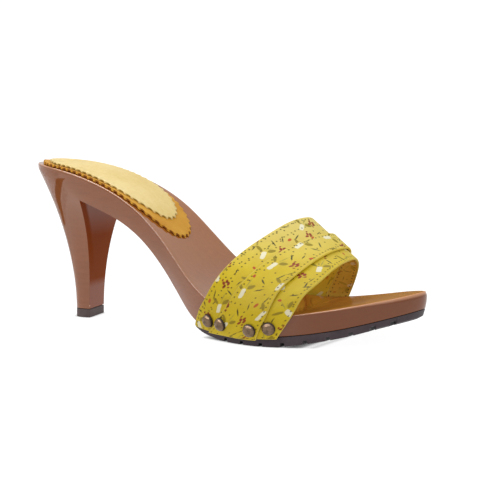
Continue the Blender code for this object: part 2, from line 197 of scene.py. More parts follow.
def mixed(first, second, share):
    return first * share + second * (1 - share)


def bump(start, height, distance, strength):
    return start.node("ShaderNodeBump", {},
                      {"Height": height, "Distance": distance * mm, "Strength": strength})


def spot(start, place, centre, reach, soft):
    local = start.node("ShaderNodeMapping", {"vector_type": "TEXTURE"},
                       {"Vector": place, "Location": centre, "Scale": reach})
    far = start.node("ShaderNodeVectorMath", {"operation": "LENGTH"}, {0: local}, "Value")
    return far.over(1.0, 1.0 - soft)


# lacquered wood

woodLook = {
    # sharp edges in degrees, their rounding in mm, and the rim in mm that the upper ones mark for the
    # painted rim highlight
    "edgeAngle": 33, "edgeRound": 0.45, "segments": 2, "levels": 2,
    "rimReach": 2.5, "rimStep": 0.5, "rimUp": 0.5,
    "side": (tint(122, 66, 28), tint(133, 75, 34)), "bed": (tint(156, 90, 34), tint(166, 100, 38)),
    # the front wall's colour here is a painted shade
    "breast": tint(128, 62, 28), "toe": tint(169, 116, 46), "shadedFrontWall": tint(104, 57, 32),
    # the rim colour is a painted highlight along the upper rims
    "rim": tint(220, 162, 124), "scuff": tint(205, 160, 130),
    "coatRoughness": 0.04, "coatIor": 1.6,
    # noises: scale, detail, roughness
    "streaks": (6.0, 5.0, 0.6), "streakStretch": (9.0, 90.0, 90.0), "clouds": (28.0, 2.0, 0.5),
    "ragged": (260.0, 2.0, 0.5), "ripple": (120.0, 1.0, 0.5),
    "streakShare": 0.6, "grainRange": (0.36, 0.68), "raggedShare": 1.4,
    "rippleHeight": 0.02, "rippleStrength": 0.4,
    # least roughness, more by streaks, more by scuffs
    "roughness": (0.35, 0.15, 0.2),
    # zones from none to full, by the normal's part along an axis and by x in m
    "bedFacing": (0.45, 0.7),
    "breastFacing": (0.5, 0.8), "breastX": (-0.058, -0.062),
    "toeFacing": (0.88, 0.96), "toeX": (0.045, 0.062),
    "wallFacing": (0.5, 0.3), "wallX": (0.03, 0.055), "wallShadeShare": 0.8,
    # gloss of the breast: least, then heights in m and share of its lower and upper part
    "breastGloss": 0.06, "lowGloss": ((0.0195, 0.0155), 0.4), "highGloss": ((0.042, 0.056), 0.56),
    # dull strip beside the breast's outer corner, which leans and bows about its middle
    "cornerZ": 0.0383, "cornerY": 0.00666, "cornerLean": 0.25, "cornerBow": 6.7,
    "cornerReach": (0.0056, 0.0036), "cornerHeights": (0.022, 0.036), "cornerDull": 0.9,
    # less coat on the toe's bed, the front wall and the underside
    "toeDull": 0.95, "wallDull": 0.45, "wallDullX": (0.045, 0.07),
    "underDull": 0.7, "underFacing": (-0.4, -0.7),
    # painted highlight on the rim: its start by x, its sharpness, and how much it shows by x at the heel
    # and at the toe
    "rimStart": (0.05, 0.09, 0.52, 0.34), "rimSharpness": 2.8, "rimFacing": (0.1, 0.5),
    "rimAtHeel": (-0.03, -0.05, 0.15, 0.6), "rimAtToe": (0.03, 0.08, 0.0, 0.55),
    # centre in mm and reach in mm of each scuff on the outer edges
    "scuffs": (((-28.6, -19.6, 44.4), (1.2, 0.9, 0.9)), ((-25.4, -20.0, 40.9), (0.8, 0.8, 0.8)),
               ((-71.0, -3.4, 6.0), (1.3, 1.0, 0.7)), ((75.5, -27.0, 18.4), (1.6, 0.8, 0.8))),
    "scuffSoft": 0.7, "scuffRange": (0.25, 0.6),
}


def breastCoat(y, z):
    (lowZ, lowShare), (highZ, highShare) = woodLook["lowGloss"], woodLook["highGloss"]
    up = z - woodLook["cornerZ"]
    fromCorner = y + up * woodLook["cornerLean"] + up * up * woodLook["cornerBow"] + woodLook["cornerY"]
    corner = fromCorner.over(*woodLook["cornerReach"]) * z.over(*woodLook["cornerHeights"])
    gloss = z.over(*lowZ) * lowShare + z.over(*highZ) * highShare + woodLook["breastGloss"]
    return gloss * (1.0 - corner * woodLook["cornerDull"])


def rimHighlight(start, x, facingZ):
    nearRidge = attribute(start, "rim") - x.over(*woodLook["rimStart"])
    rim = (nearRidge * woodLook["rimSharpness"]).over(0.0, 1.0) * facingZ.over(*woodLook["rimFacing"])
    return rim * (x.over(*woodLook["rimAtHeel"]) + x.over(*woodLook["rimAtToe"]))


def scuffed(start, place):
    ragged = (noise(start, place, *woodLook["ragged"]) - 0.5) * woodLook["raggedShare"]
    worn = None
    for centre, reach in woodLook["scuffs"]:
        mark = spot(start, place, [c * mm for c in centre], [r * mm for r in reach], woodLook["scuffSoft"])
        worn = mark if worn is None else worn | mark
    return (worn + ragged * worn).over(*woodLook["scuffRange"])


def lacqueredWood():
    made, start = newFinish("lacqueredWood", Coat_Roughness=woodLook["coatRoughness"],
                            Coat_IOR=woodLook["coatIor"], Specular_IOR_Level=0.0)
    place = objectPlace(start)
    x, y, z = place.parts()
    facing = start.node("ShaderNodeTexCoord", {}, {}, "Normal").parts()
    facingX, facingZ = facing[0], facing[2]
    streaks = noise(start, stretched(start, place, woodLook["streakStretch"]), *woodLook["streaks"])
    clouds = noise(start, place, *woodLook["clouds"])
    grain = mixed(streaks, clouds, woodLook["streakShare"]).over(*woodLook["grainRange"])
    bed = facingZ.over(*woodLook["bedFacing"])
    breast = facingX.over(*woodLook["breastFacing"]) * x.over(*woodLook["breastX"])
    toe = facingZ.over(*woodLook["toeFacing"]) * x.over(*woodLook["toeX"])
    shadedFrontWall = facingZ.over(*woodLook["wallFacing"]) * x.over(*woodLook["wallX"])
    worn = scuffed(start, place)
    colour = bed.blend(grain.blend(*woodLook["side"]), grain.blend(*woodLook["bed"]))
    colour = breast.blend(colour, woodLook["breast"])
    colour = toe.blend(colour, woodLook["toe"])
    # painted shade on the toe's front wall
    colour = (shadedFrontWall * woodLook["wallShadeShare"]).blend(colour, woodLook["shadedFrontWall"])
    # painted highlight along the upper rims, in a pale wood colour
    colour = rimHighlight(start, x, facingZ).blend(colour, woodLook["rim"])
    colour = worn.blend(colour, woodLook["scuff"])
    coat = 1.0 - breast * (1.0 - breastCoat(y, z)) - toe * woodLook["toeDull"]
    coat = coat - shadedFrontWall * x.over(*woodLook["wallDullX"]) * woodLook["wallDull"]
    coat = coat - facingZ.over(*woodLook["underFacing"]) * woodLook["underDull"]
    ripple = noise(start, place, *woodLook["ripple"])
    least, byStreaks, byScuffs = woodLook["roughness"]
    feed(made, Base_Color=colour, Roughness=streaks * byStreaks + least + worn * byScuffs, Coat_Weight=coat,
         Normal=bump(start, ripple, woodLook["rippleHeight"], woodLook["rippleStrength"]))
    return made


def ridgePoints(mesh):  # points along the sharp edges that look up
    normals = {}
    for face in mesh.polygons:
        for key in face.edge_keys:
            normals.setdefault(key, []).append(face.normal)
    points = []
    for (a, b), pair in normals.items():
        sharp = pair[0].angle(pair[-1]) > math.radians(woodLook["edgeAngle"])
        if sharp and (pair[0] + pair[-1]).z > woodLook["rimUp"]:
            first, last = mesh.vertices[a].co, mesh.vertices[b].co
            steps = int((last - first).length / (woodLook["rimStep"] * mm)) + 1
            points += [first.lerp(last, k / steps) for k in range(steps + 1)]
    return points


def markRim(mesh, points):  # 1 on the ridge, 0 past its reach
    tree = KDTree(len(points))
    for index, point in enumerate(points):
        tree.insert(point, index)
    tree.balance()
    reach = woodLook["rimReach"] * mm
    rim = mesh.attributes.new("rim", "FLOAT", "POINT")
    for vertex in mesh.vertices:
        rim.data[vertex.index].value = max(0.0, 1.0 - tree.find(vertex.co)[2] / reach)


def woodenBody():
    piece = copyOfNode("wooden_body", "woodBlock")
    ridge = ridgePoints(piece.data)
    roundEdges(piece, woodLook["edgeAngle"], woodLook["edgeRound"], woodLook["segments"])
    subdivide(piece, woodLook["levels"])
    markRim(piece.data, ridge)
    dress(piece, [lacqueredWood()])
    settle(piece, ["wooden_body"])
    print("wood block:", len(piece.data.polygons), "faces,", len(ridge), "rim points")


woodenBody()


# rubber sole and heel tip

rubberLook = {
    # sharp edges in degrees, their rounding in mm
    "edgeAngle": 35, "soleRound": 0.3, "tipRound": 0.45, "segments": 2, "levels": 1,
    "sole": (tint(50, 40, 44), tint(71, 59, 63)), "tip": (tint(65, 52, 51), tint(90, 75, 73)),
    # the groove colour is a painted shade for the grooves and other recesses
    "groove": tint(16, 12, 14), "grooveReach": 3.0, "grooveSamples": 8, "openRange": (0.6, 0.92),
    # noises: scale, detail, roughness
    "clouds": (90.0, 4.0, 0.65), "grain": (900.0, 2.0, 0.5), "cloudRange": (0.3, 0.7),
    "grainHeight": 0.05, "grainStrength": 0.8, "specular": 0.25,
    # least roughness, more by clouds
    "roughness": (0.45, 0.25),
}


def rubber(name, colours):
    made, start = newFinish(name, Specular_IOR_Level=rubberLook["specular"])
    place = objectPlace(start)
    clouds = noise(start, place, *rubberLook["clouds"])
    grain = noise(start, place, *rubberLook["grain"])
    colour = clouds.over(*rubberLook["cloudRange"]).blend(*colours)
    # painted shade: darker where nearby rubber encloses the surface, in the grooves and other recesses
    openTo = start.node("ShaderNodeAmbientOcclusion",
                        {"samples": rubberLook["grooveSamples"], "only_local": True},
                        {"Distance": rubberLook["grooveReach"] * mm}, "AO")
    colour = openTo.over(*rubberLook["openRange"]).blend(rubberLook["groove"], colour)
    least, byClouds = rubberLook["roughness"]
    feed(made, Base_Color=colour, Roughness=clouds * byClouds + least,
         Normal=bump(start, grain, rubberLook["grainHeight"], rubberLook["grainStrength"]))
    return made


def rubberPieces():
    for nodeName, pieceName, slotName, rounding, colours in (
            ("outsole", "ridgedSole", "sole_rubber", rubberLook["soleRound"], rubberLook["sole"]),
            ("heel_tip", "heelTopPiece", "tip_rubber", rubberLook["tipRound"], rubberLook["tip"])):
        piece = copyOfNode(nodeName, pieceName)
        roundEdges(piece, rubberLook["edgeAngle"], rounding, rubberLook["segments"])
        subdivide(piece, rubberLook["levels"])
        dress(piece, [rubber(pieceName + "Rubber", colours)])
        settle(piece, [nodeName])
        print(pieceName + ":", len(piece.data.polygons), "faces")


rubberPieces()


# heel sock

sockLook = {
    # sharp edges in degrees, their rounding in mm, then what tells the edge wall and its rims
    "edgeAngle": 50, "edgeRound": 0.12, "segments": 1, "levels": 2, "toothCrease": 0.4,
    "wallUp": 0.6, "rimSlope": 0.5, "leastRim": 0.3,
    # each notch colour is a painted shade in the notches of the pinked edge
    "amber": {"name": "amberSuede", "colours": (tint(197, 136, 32), tint(220, 167, 58)),
              "notchShade": tint(140, 84, 26), "nap": (1300.0, 3.0, 0.6), "napHeight": 0.12, "roughness": 0.65},
    "cream": {"name": "creamLeather", "colours": (tint(225, 197, 122), tint(239, 217, 152)),
              "notchShade": tint(168, 140, 64), "nap": (700.0, 3.0, 0.6), "napHeight": 0.05, "roughness": 0.45},
    "clouds": (45.0, 4.0, 0.6), "cloudShare": 0.7, "colourRange": (0.35, 0.65),
    "notchRagged": 0.3, "notchRange": (0.15, 0.6),
    "napRough": 0.2, "napStrength": 0.7, "specular": 0.12,
}


def sockFinish(look, part):
    made, start = newFinish(look["name"] + part, Specular_IOR_Level=sockLook["specular"])
    place = objectPlace(start)
    clouds = noise(start, place, *sockLook["clouds"])
    nap = noise(start, place, *look["nap"])
    ground = mixed(clouds, nap, sockLook["cloudShare"]).over(*sockLook["colourRange"])
    colour = ground.blend(*look["colours"])
    # painted shade in the notches of the pinked edge
    if part == "Edge":
        notchShade = attribute(start, "notchShade") + (nap - 0.5) * sockLook["notchRagged"]
        colour = notchShade.over(*sockLook["notchRange"]).blend(colour, look["notchShade"])
    feed(made, Base_Color=colour, Roughness=nap * sockLook["napRough"] + look["roughness"],
         Normal=bump(start, nap, look["napHeight"], sockLook["napStrength"]))
    return made


def onEdgeWall(face):
    return abs(face.normal.z) < sockLook["wallUp"]


# marks where the painted shade of the notches goes
def markNotches(mesh):  # 1 at the inner points of the pinked edge
    notchShade = mesh.attributes.new("notchShade", "FLOAT", "POINT")
    neighbours = {}
    for face in filter(onEdgeWall, mesh.polygons):
        for a, b in face.edge_keys:
            across = mesh.vertices[a].co - mesh.vertices[b].co
            run = across.xy.length
            if run > abs(across.z) * sockLook["rimSlope"] and run > sockLook["leastRim"] * mm:
                neighbours.setdefault(a, set()).add(b)
                neighbours.setdefault(b, set()).add(a)
    middle = sum((v.co for v in mesh.vertices), Vector()) / len(mesh.vertices)
    for index, others in neighbours.items():
        here = mesh.vertices[index].co
        around = sum((mesh.vertices[i].co for i in others), Vector()) / len(others)
        if (here - around).xy.dot((here - middle).xy) < 0:
            notchShade.data[index].value = 1.0


def creaseRims(piece):
    only(piece)
    bpy.ops.object.mode_set(mode="EDIT")
    bpy.ops.mesh.select_mode(type="EDGE")
    bpy.ops.mesh.select_all(action="DESELECT")
    bpy.ops.object.mode_set(mode="OBJECT")
    looks = {}
    for face in piece.data.polygons:
        if onEdgeWall(face):
            face.material_index = 1
        for key in face.edge_keys:
            looks.setdefault(key, set()).add(face.material_index)
    for edge in piece.data.edges:
        edge.select = looks[edge.key] == {0, 1}  # rims of the edge wall
    bpy.ops.object.mode_set(mode="EDIT")
    bpy.ops.transform.edge_crease(value=1.0)
    bpy.ops.transform.vert_crease(value=sockLook["toothCrease"])
    bpy.ops.object.mode_set(mode="OBJECT")


def sockLayer(nodeName, pieceName, look):
    piece = copyOfNode(nodeName, pieceName)
    markNotches(piece.data)
    creaseRims(piece)
    subdivide(piece, sockLook["levels"])
    roundEdges(piece, sockLook["edgeAngle"], sockLook["edgeRound"], sockLook["segments"])
    dress(piece, [sockFinish(look, part) for part in ("Top", "Edge")])
    settle(piece, [nodeName])
    print(pieceName + ":", len(piece.data.polygons), "faces")
    return piece


def heelSock():
    sockLayer("heel_sock_base", "amberSockLayer", sockLook["amber"])
    pad = sockLayer("heel_sock_top", "creamSockPad", sockLook["cream"])


heelSock()


# strap over the forefoot, in mm from a datum behind the heel

strapShape = {
    "backX": 3.0, "toeX": 216.3, "shift": (109.65, -4.7112, 0.0),
    "rimRadius": 0.9, "wallInset": 2.4, "gap": 0.3, "drop": 0.6, "turnStep": 0.01,
    # station, outer edge, inner edge
    "outline": ((68.0, -24.2, 22.8), (92.0, -25.2, 23.2), (122.0, -35.2, 28.7),
                (152.0, -43.0, 34.2), (179.0, -35.4, 34.4), (198.0, -25.6, 28.4)),
    # station, rim height, lower edge height
    "profile": ((100.0, 37.0, 20.3), (110.0, 27.7, 9.4), (116.0, 23.5, 6.1), (122.0, 19.9, 5.1),
                (137.0, 15.1, 4.7), (152.0, 13.9, 4.6), (166.0, 14.8, 5.1), (179.0, 16.6, 6.7),
                (198.0, 20.2, 10.7)),
    # rear edge x, y, z and front edge x, y, z, from the outer to the inner side
    "arch": ((130.6, -36.0, 29.4, 174.7, -36.0, 23.0), (137.6, -27.8, 39.4, 178.6, -27.0, 29.0),
             (145.0, -16.8, 47.2, 180.0, -15.0, 33.6), (151.0, -2.0, 53.3, 179.6, -1.0, 35.6),
             (153.0, 13.0, 53.6, 177.6, 12.0, 35.0), (147.5, 24.5, 48.0, 174.0, 22.5, 30.6),
             (136.5, 31.2, 36.5, 169.2, 29.4, 23.0)),
    # rear and front x at the lower edge, then at the rim, on the outer and the inner side
    "walls": (((115.2, 163.6), (123.6, 170.2)), ((114.5, 158.0), (122.5, 163.0))),
    "wallRows": 3, "archRows": 26,
    # share of the strap's length, shares of its width where the middle band starts and ends
    "bandEdges": ((0.0, 0.21, 0.805), (0.03, 0.26, 0.79), (0.10, 0.29, 0.765), (0.25, 0.33, 0.75),
                  (0.40, 0.385, 0.775), (0.55, 0.45, 0.80), (0.75, 0.39, 0.785), (0.90, 0.30, 0.77),
                  (0.97, 0.26, 0.79), (1.0, 0.21, 0.805)),
    "fineRows": 132, "fineShares": 40,
}


def smooth(knots, values, x):
    slopes = np.gradient(values, knots)
    i = int(np.clip(np.searchsorted(knots, x) - 1, 0, len(knots) - 2))
    span = knots[i + 1] - knots[i]
    t = (x - knots[i]) / span
    rise = values[i] * (1 + 2 * t) * (1 - t) ** 2 + values[i + 1] * t * t * (3 - 2 * t)
    return rise + span * (slopes[i] * t * (1 - t) ** 2 - slopes[i + 1] * t * t * (1 - t))


def runAlong(points):
    return np.concatenate([[0.0], np.cumsum(np.linalg.norm(np.diff(points, axis=0), axis=1))])


def turnOf(x):
    length = strapShape["toeX"] - strapShape["backX"]
    return math.acos(1 - 2 * (x - strapShape["backX"]) / length)


outline = np.array(strapShape["outline"])
outlineTurns = np.array([turnOf(x) for x in outline[:, 0]])
profile = np.array(strapShape["profile"])
bandEdges = np.array(strapShape["bandEdges"])


def edgePoint(angle, side):
    x = strapShape["backX"] + (strapShape["toeX"] - strapShape["backX"]) * (1 - math.cos(angle)) / 2
    return np.array((x, smooth(outlineTurns, outline[:, 1 + side], angle)))


def wallPoint(x, side, share, out):
    angle, step = turnOf(x), strapShape["turnStep"]
    plan = edgePoint(angle, side)
    along = edgePoint(angle + step, side) - edgePoint(angle - step, side)
    normal = np.array((along[1], -along[0])) * (1 if side == 0 else -1) / np.linalg.norm(along)
    low = smooth(profile[:, 0], profile[:, 2], x)
    top = smooth(profile[:, 0], profile[:, 1], x) - strapShape["rimRadius"]
    plan = plan + normal * (out - strapShape["wallInset"] * (1 - share) ** 2)
    return np.array((plan[0], plan[1], low + (top - low) * share))


def strapWall(side, share, widthShare):
    lower, upper = (np.array(ends) for ends in strapShape["walls"][side])
    ends = lower + (upper - lower) * share
    point = wallPoint(ends[0] + (ends[1] - ends[0]) * widthShare, side, share, strapShape["gap"])
    return point - np.array((0.0, 0.0, strapShape["drop"] * (1 - share)))


def strapSection(widthShare, places):
    wallRows, archRows = strapShape["wallRows"], strapShape["archRows"]
    arch = [np.array(row[:3]) + (np.array(row[3:]) - row[:3]) * widthShare for row in strapShape["arch"]]
    rise = [strapWall(0, i / wallRows, widthShare) for i in (wallRows - 1, wallRows)]
    fall = [strapWall(1, i / wallRows, widthShare) for i in (wallRows, wallRows - 1)]
    control = np.array(rise + arch + fall)
    run = runAlong(control)
    points = []
    for place in places:
        if place <= wallRows:
            points.append(strapWall(0, place / wallRows, widthShare))
        elif place > wallRows + archRows:
            points.append(strapWall(1, (2 * wallRows + archRows - place) / wallRows, widthShare))
        else:
            at = run[1] + (run[-2] - run[1]) * (place - wallRows) / archRows
            points.append(np.array([smooth(run, control[:, k], at) for k in range(3)]))
    return points


def strapSurface():
    rows, shares = strapShape["fineRows"], strapShape["fineShares"]
    total = 2 * strapShape["wallRows"] + strapShape["archRows"]
    places = [total * i / rows for i in range(rows + 1)]
    points = np.array([strapSection(j / shares, places) for j in range(shares + 1)])
    normals = np.cross(np.gradient(points, axis=0), np.gradient(points, axis=1))
    normals /= np.linalg.norm(normals, axis=2, keepdims=True)
    return (points - np.array(strapShape["shift"])) * mm, normals


bandShape = {
    # start and end: column of the band edges and overlap past it, or none at an edge of the strap
    "rear": {"start": None, "end": (1, 0.08), "lift": 0.0, "crown": 0.0, "lip": (0.0, 0.0), "across": 12,
             "thickness": 1.35, "printTurn": 0.6, "printShift": (7.0, 3.0), "secondHoles": True},
    "middle": {"start": (1, 0.0), "end": (2, 0.0), "lift": 1.45, "crown": 0.25, "lip": (0.45, 0.35),
               "across": 24, "thickness": 1.15, "printTurn": 0.05, "printShift": (0.0, 0.0),
               "secondHoles": False},
    "front": {"start": (2, -0.08), "end": None, "lift": 0.0, "crown": 0.0, "lip": (0.0, 0.0), "across": 12,
              "thickness": 1.35, "printTurn": 0.75, "printShift": (23.0, 17.0), "secondHoles": False},
    "lipPower": 6, "edgeAngle": 60, "edgeRound": 0.45, "segments": 2, "holeReach": 4.5,
}


def borderShare(border, atEdge, lengthShare):
    if border is None:
        return atEdge
    column, overlap = border
    return smooth(bandEdges[:, 0], bandEdges[:, column], lengthShare) + overlap


def bandPlace(shape, along, across, points, normals, i):
    arc = math.sin(math.pi * along) ** 2
    start = borderShare(shape["start"], 0.0, along)
    end = borderShare(shape["end"], 1.0, along)
    share = start + (end - start) * across
    shares = np.linspace(0.0, 1.0, len(points))
    inner = np.array([np.interp(share, shares, points[:, i, k]) for k in range(3)])
    out = np.array([np.interp(share, shares, normals[:, i, k]) for k in range(3)])
    crown = shape["crown"] * math.sin(math.pi * across) * arc
    power = bandShape["lipPower"]
    lip = (shape["lip"][0] * (1 - across) ** power + shape["lip"][1] * across ** power) * arc
    return inner + out * (shape["lift"] + crown + lip) * mm


def layGrid(mesh, shape, points, normals):
    rows, across = len(points[0]) - 1, shape["across"]
    cells, grid = {}, np.zeros((rows + 1, across + 1, 3))
    for vertex in mesh.vertices:
        i = int(round((vertex.co.x + 0.5) * rows))
        j = int(round((vertex.co.y + 0.5) * across))
        cells[vertex.index] = (i, j)
        grid[i, j] = bandPlace(shape, i / rows, j / across, points, normals, i)
        vertex.co = grid[i, j]
    return cells, grid


def layMaps(mesh, shape, cells, middleRun, fromRear):  # both in mm
    mesh.uv_layers[0].name = "printMap"
    edgeMap = mesh.uv_layers.new(name="edgeMap")
    printMap = mesh.uv_layers["printMap"]
    c, s = math.cos(shape["printTurn"]), math.sin(shape["printTurn"])
    shiftX, shiftY = shape["printShift"]
    for loop in mesh.loops:
        i, j = cells[loop.vertex_index]
        along, aside = middleRun[i] / mm, fromRear[i, j] / mm
        printMap.data[loop.index].uv = (along * c - aside * s + shiftX, along * s + aside * c + shiftY)
        if not shape["secondHoles"]:  # one row of holes, along both edges
            aside = min(aside, fromRear[i, -1] / mm - aside, bandShape["holeReach"])
        edgeMap.data[loop.index].uv = (along, aside)


def faceOutwards(piece):
    only(piece)
    bpy.ops.object.mode_set(mode="EDIT")
    bpy.ops.mesh.select_all(action="SELECT")
    bpy.ops.mesh.normals_make_consistent(inside=False)
    bpy.ops.object.mode_set(mode="OBJECT")
    topFace = min(piece.data.polygons, key=lambda face: abs(face.center.y) - face.center.z)
    if topFace.normal.z < 0:
        piece.data.flip_normals()


def bandPiece(name, points, normals, looks):
    shape = bandShape[name]
    rows, across = len(points[0]) - 1, shape["across"]
    bpy.ops.object.select_all(action="DESELECT")
    bpy.ops.mesh.primitive_grid_add(x_subdivisions=rows, y_subdivisions=across, size=1.0)
    piece = bpy.context.object
    piece.name = "strapBand" + name.capitalize()
    mesh = piece.data
    cells, grid = layGrid(mesh, shape, points, normals)
    middleRun = runAlong(grid[:, across // 2])
    fromRear = np.array([runAlong(row) for row in grid])
    layMaps(mesh, shape, cells, middleRun, fromRear)
    faceOutwards(piece)
    dress(piece, looks)  # before the wall, whose back and rim take the second and the third
    applyModifier(piece, "SOLIDIFY", thickness=shape["thickness"] * mm, offset=1.0, use_rim=True,
                  material_offset=1, material_offset_rim=2)
    roundEdges(piece, bandShape["edgeAngle"], bandShape["edgeRound"], bandShape["segments"], material=2)
    settle(piece, ["upper_strap"])
    width, length = float(fromRear.max()), float(middleRun[-1])
    cutSize = f"{width / mm:.1f} x {length / mm:.1f}"
    print(piece.name + ":", len(piece.data.polygons), "faces, cut", cutSize)


# printed leather, its patterns in mm

printLook = {
    "tile": (35.0, 31.0),
    "bud": tint(238, 232, 198), "leaf": tint(146, 128, 10), "stem": tint(162, 152, 52),
    "dash": tint(50, 52, 8), "petal": tint(138, 42, 8), "heart": tint(206, 172, 60),
    "blob": tint(186, 78, 18),
    # x, y, turn of each bud
    "buds": ((7.0, 7.0, 6), (24.5, 5.5, -10), (14.5, 21.5, 14), (31.0, 19.5, -4)), "budSize": (4.9, 2.2),
    # along and aside from a bud, turn from it, length, width
    "leaves": ((3.4, 2.7, 62, 3.7, 2.2), (4.0, -3.0, -50, 5.2, 1.5)),
    "stems": ((5.6, 0.5, 8, 5.0, 0.55), (4.4, 1.6, 40, 2.6, 0.4)),
    # x, y, turn, length, width
    "dashes": ((2.4, 15.5, 22, 4.4, 0.75), (5.6, 17.8, 42, 3.8, 0.6), (15.5, 9.6, -40, 4.6, 0.75),
               (18.6, 13.0, -18, 3.4, 0.6), (27.5, 12.0, 64, 4.2, 0.75), (32.4, 10.4, -55, 4.2, 0.7),
               (22.6, 18.8, 12, 4.0, 0.7), (21.6, 26.4, -36, 4.4, 0.75), (32.4, 28.0, 16, 3.6, 0.6),
               (7.8, 28.4, -64, 4.2, 0.75), (11.4, 2.0, 18, 3.2, 0.6), (26.0, 30.0, 50, 3.0, 0.6)),
    "blobs": ((19.6, 16.0, 15, 2.4, 1.6), (34.0, 4.6, -30, 2.0, 1.3)),
    # x, y of each cluster; place, length and width of its petals and hearts
    "clusters": ((11.4, 14.6), (26.6, 24.0), (2.6, 23.2), (17.6, 1.2)),
    "petals": ((0.0, 1.1, 2.3, 1.4), (1.3, 0.3, 2.0, 1.4), (0.7, -1.1, 2.1, 1.3), (-1.1, -0.8, 2.2, 1.4),
               (-2.0, 1.2, 1.4, 0.9), (2.3, -1.7, 1.3, 0.9)),
    "hearts": ((0.1, 0.1, 1.0, 0.9), (-1.7, 0.5, 0.7, 0.6)),
    "petalTurn": 40, "soft": 0.16, "softest": 0.9, "softOutside": 0.5,
    "speck": tint(90, 76, 10), "specksPerMm": 0.19, "speckReach": 0.09, "speckCore": 0.6,
    "holePitch": 2.3, "holeInsets": (1.7, 6.4), "holeReach": 0.4, "holeOuter": 1.25, "holeCore": 0.6,
    "holeShare": 0.8,
    # noises: scale, detail, roughness
    "grain": (2.2, 3.0, 0.6), "clouds": (0.16, 3.0, 0.5), "cloudShare": 0.7, "groundRange": (0.35, 0.65),
    "wanderScale": 0.9, "wanderDetail": 1.0, "wanderReach": 0.5,
    # heights in m: a painted sheen paler towards the top, a painted shade deeper towards the lower edge
    "paintedSheen": tint(225, 208, 130), "sheenHeights": (0.034, 0.052),
    "shade": tint(108, 82, 48), "shadeHeights": (0.04, 0.021), "shadeShare": 0.58,
    "grainRelief": 0.35, "cloudRelief": 0.4, "holeRelief": 3.0, "reliefHeight": 0.1, "reliefStrength": 0.7,
    "grainRough": 0.16, "specular": 0.08,
}


def printShapes():
    shapes = {"stem": [], "leaf": [], "dash": printLook["dashes"], "petal": [], "heart": [],
              "blob": printLook["blobs"], "bud": []}
    for x, y, turn in printLook["buds"]:
        shapes["bud"].append((x, y, turn) + printLook["budSize"])
        c, s = math.cos(math.radians(turn)), math.sin(math.radians(turn))
        for kind, rows in (("leaf", printLook["leaves"]), ("stem", printLook["stems"])):
            for along, aside, lean, length, width in rows:
                place = (x + along * c - aside * s, y + along * s + aside * c)
                shapes[kind].append(place + (turn + lean, length, width))
    for x, y in printLook["clusters"]:
        for kind, rows in (("petal", printLook["petals"]), ("heart", printLook["hearts"])):
            for dx, dy, length, width in rows:
                shapes[kind].append((x + dx, y + dy, printLook["petalTurn"] * dx * dy, length, width))
    return {kind: wrapped(rows) for kind, rows in shapes.items()}


def wrapped(rows):  # repeats what crosses the tile's border on its other side
    wide, high = printLook["tile"]
    repeated = []
    for x, y, turn, length, width in rows:
        near = length / 2
        for dx in (-wide, 0.0, wide):
            for dy in (-high, 0.0, high):
                if -near < x + dx < wide + near and -near < y + dy < high + near:
                    repeated.append((x + dx, y + dy, turn, length, width))
    return repeated


def printMask(start, place, kind, rows):
    mask = None
    for x, y, turn, length, width in rows:
        local = start.node("ShaderNodeMapping", {"vector_type": "TEXTURE"},
                           {"Vector": place, "Location": (x, y, 0.0),
                            "Rotation": (0.0, 0.0, math.radians(turn)),
                            "Scale": (length / 2, width / 2, 1.0)})
        if kind == "bud":  # squared parts make its ends blunt
            local = start.node("ShaderNodeVectorMath", {"operation": "MULTIPLY"}, {0: local, 1: local})
        far = start.node("ShaderNodeVectorMath", {"operation": "LENGTH"}, {0: local}, "Value")
        soft = min(printLook["softest"], printLook["soft"] / (width / 2))
        one = far.over(1.0 + soft * printLook["softOutside"], 1.0 - soft)
        mask = one if mask is None else mask | one
    return mask


def wanderingTile(start, place):
    wander = start.node("ShaderNodeTexNoise", {"noise_dimensions": "3D"},
                        {"Vector": place, "Scale": printLook["wanderScale"],
                         "Detail": printLook["wanderDetail"]}, "Color")
    reach = printLook["wanderReach"]
    wander = start.node("ShaderNodeVectorMath", {"operation": "MULTIPLY_ADD"},
                        {0: wander, 1: (reach, reach, 0.0), 2: place})
    return start.node("ShaderNodeVectorMath", {"operation": "WRAP"},
                      {0: wander, 1: printLook["tile"] + (1.0,), 2: (0.0, 0.0, 0.0)})


def specks(start, place):
    cell = start.node("ShaderNodeTexVoronoi", {"voronoi_dimensions": "2D", "feature": "F1"},
                      {"Vector": place, "Scale": printLook["specksPerMm"]}, "Distance")
    return cell.over(printLook["speckReach"], printLook["speckReach"] * printLook["speckCore"])


def stitchHoles(start):
    along, inset = mapPlace(start, "edgeMap").parts()[:2]
    half, reach = printLook["holePitch"] / 2, printLook["holeReach"]
    step = start.maths("PINGPONG", along, half) - half
    fromRows = [start.maths("ABSOLUTE", inset - row) for row in printLook["holeInsets"]]
    aside = start.maths("MINIMUM", *fromRows)
    far = start.maths("SQRT", step * step + aside * aside)
    return far.over(reach * printLook["holeOuter"], reach * printLook["holeCore"])


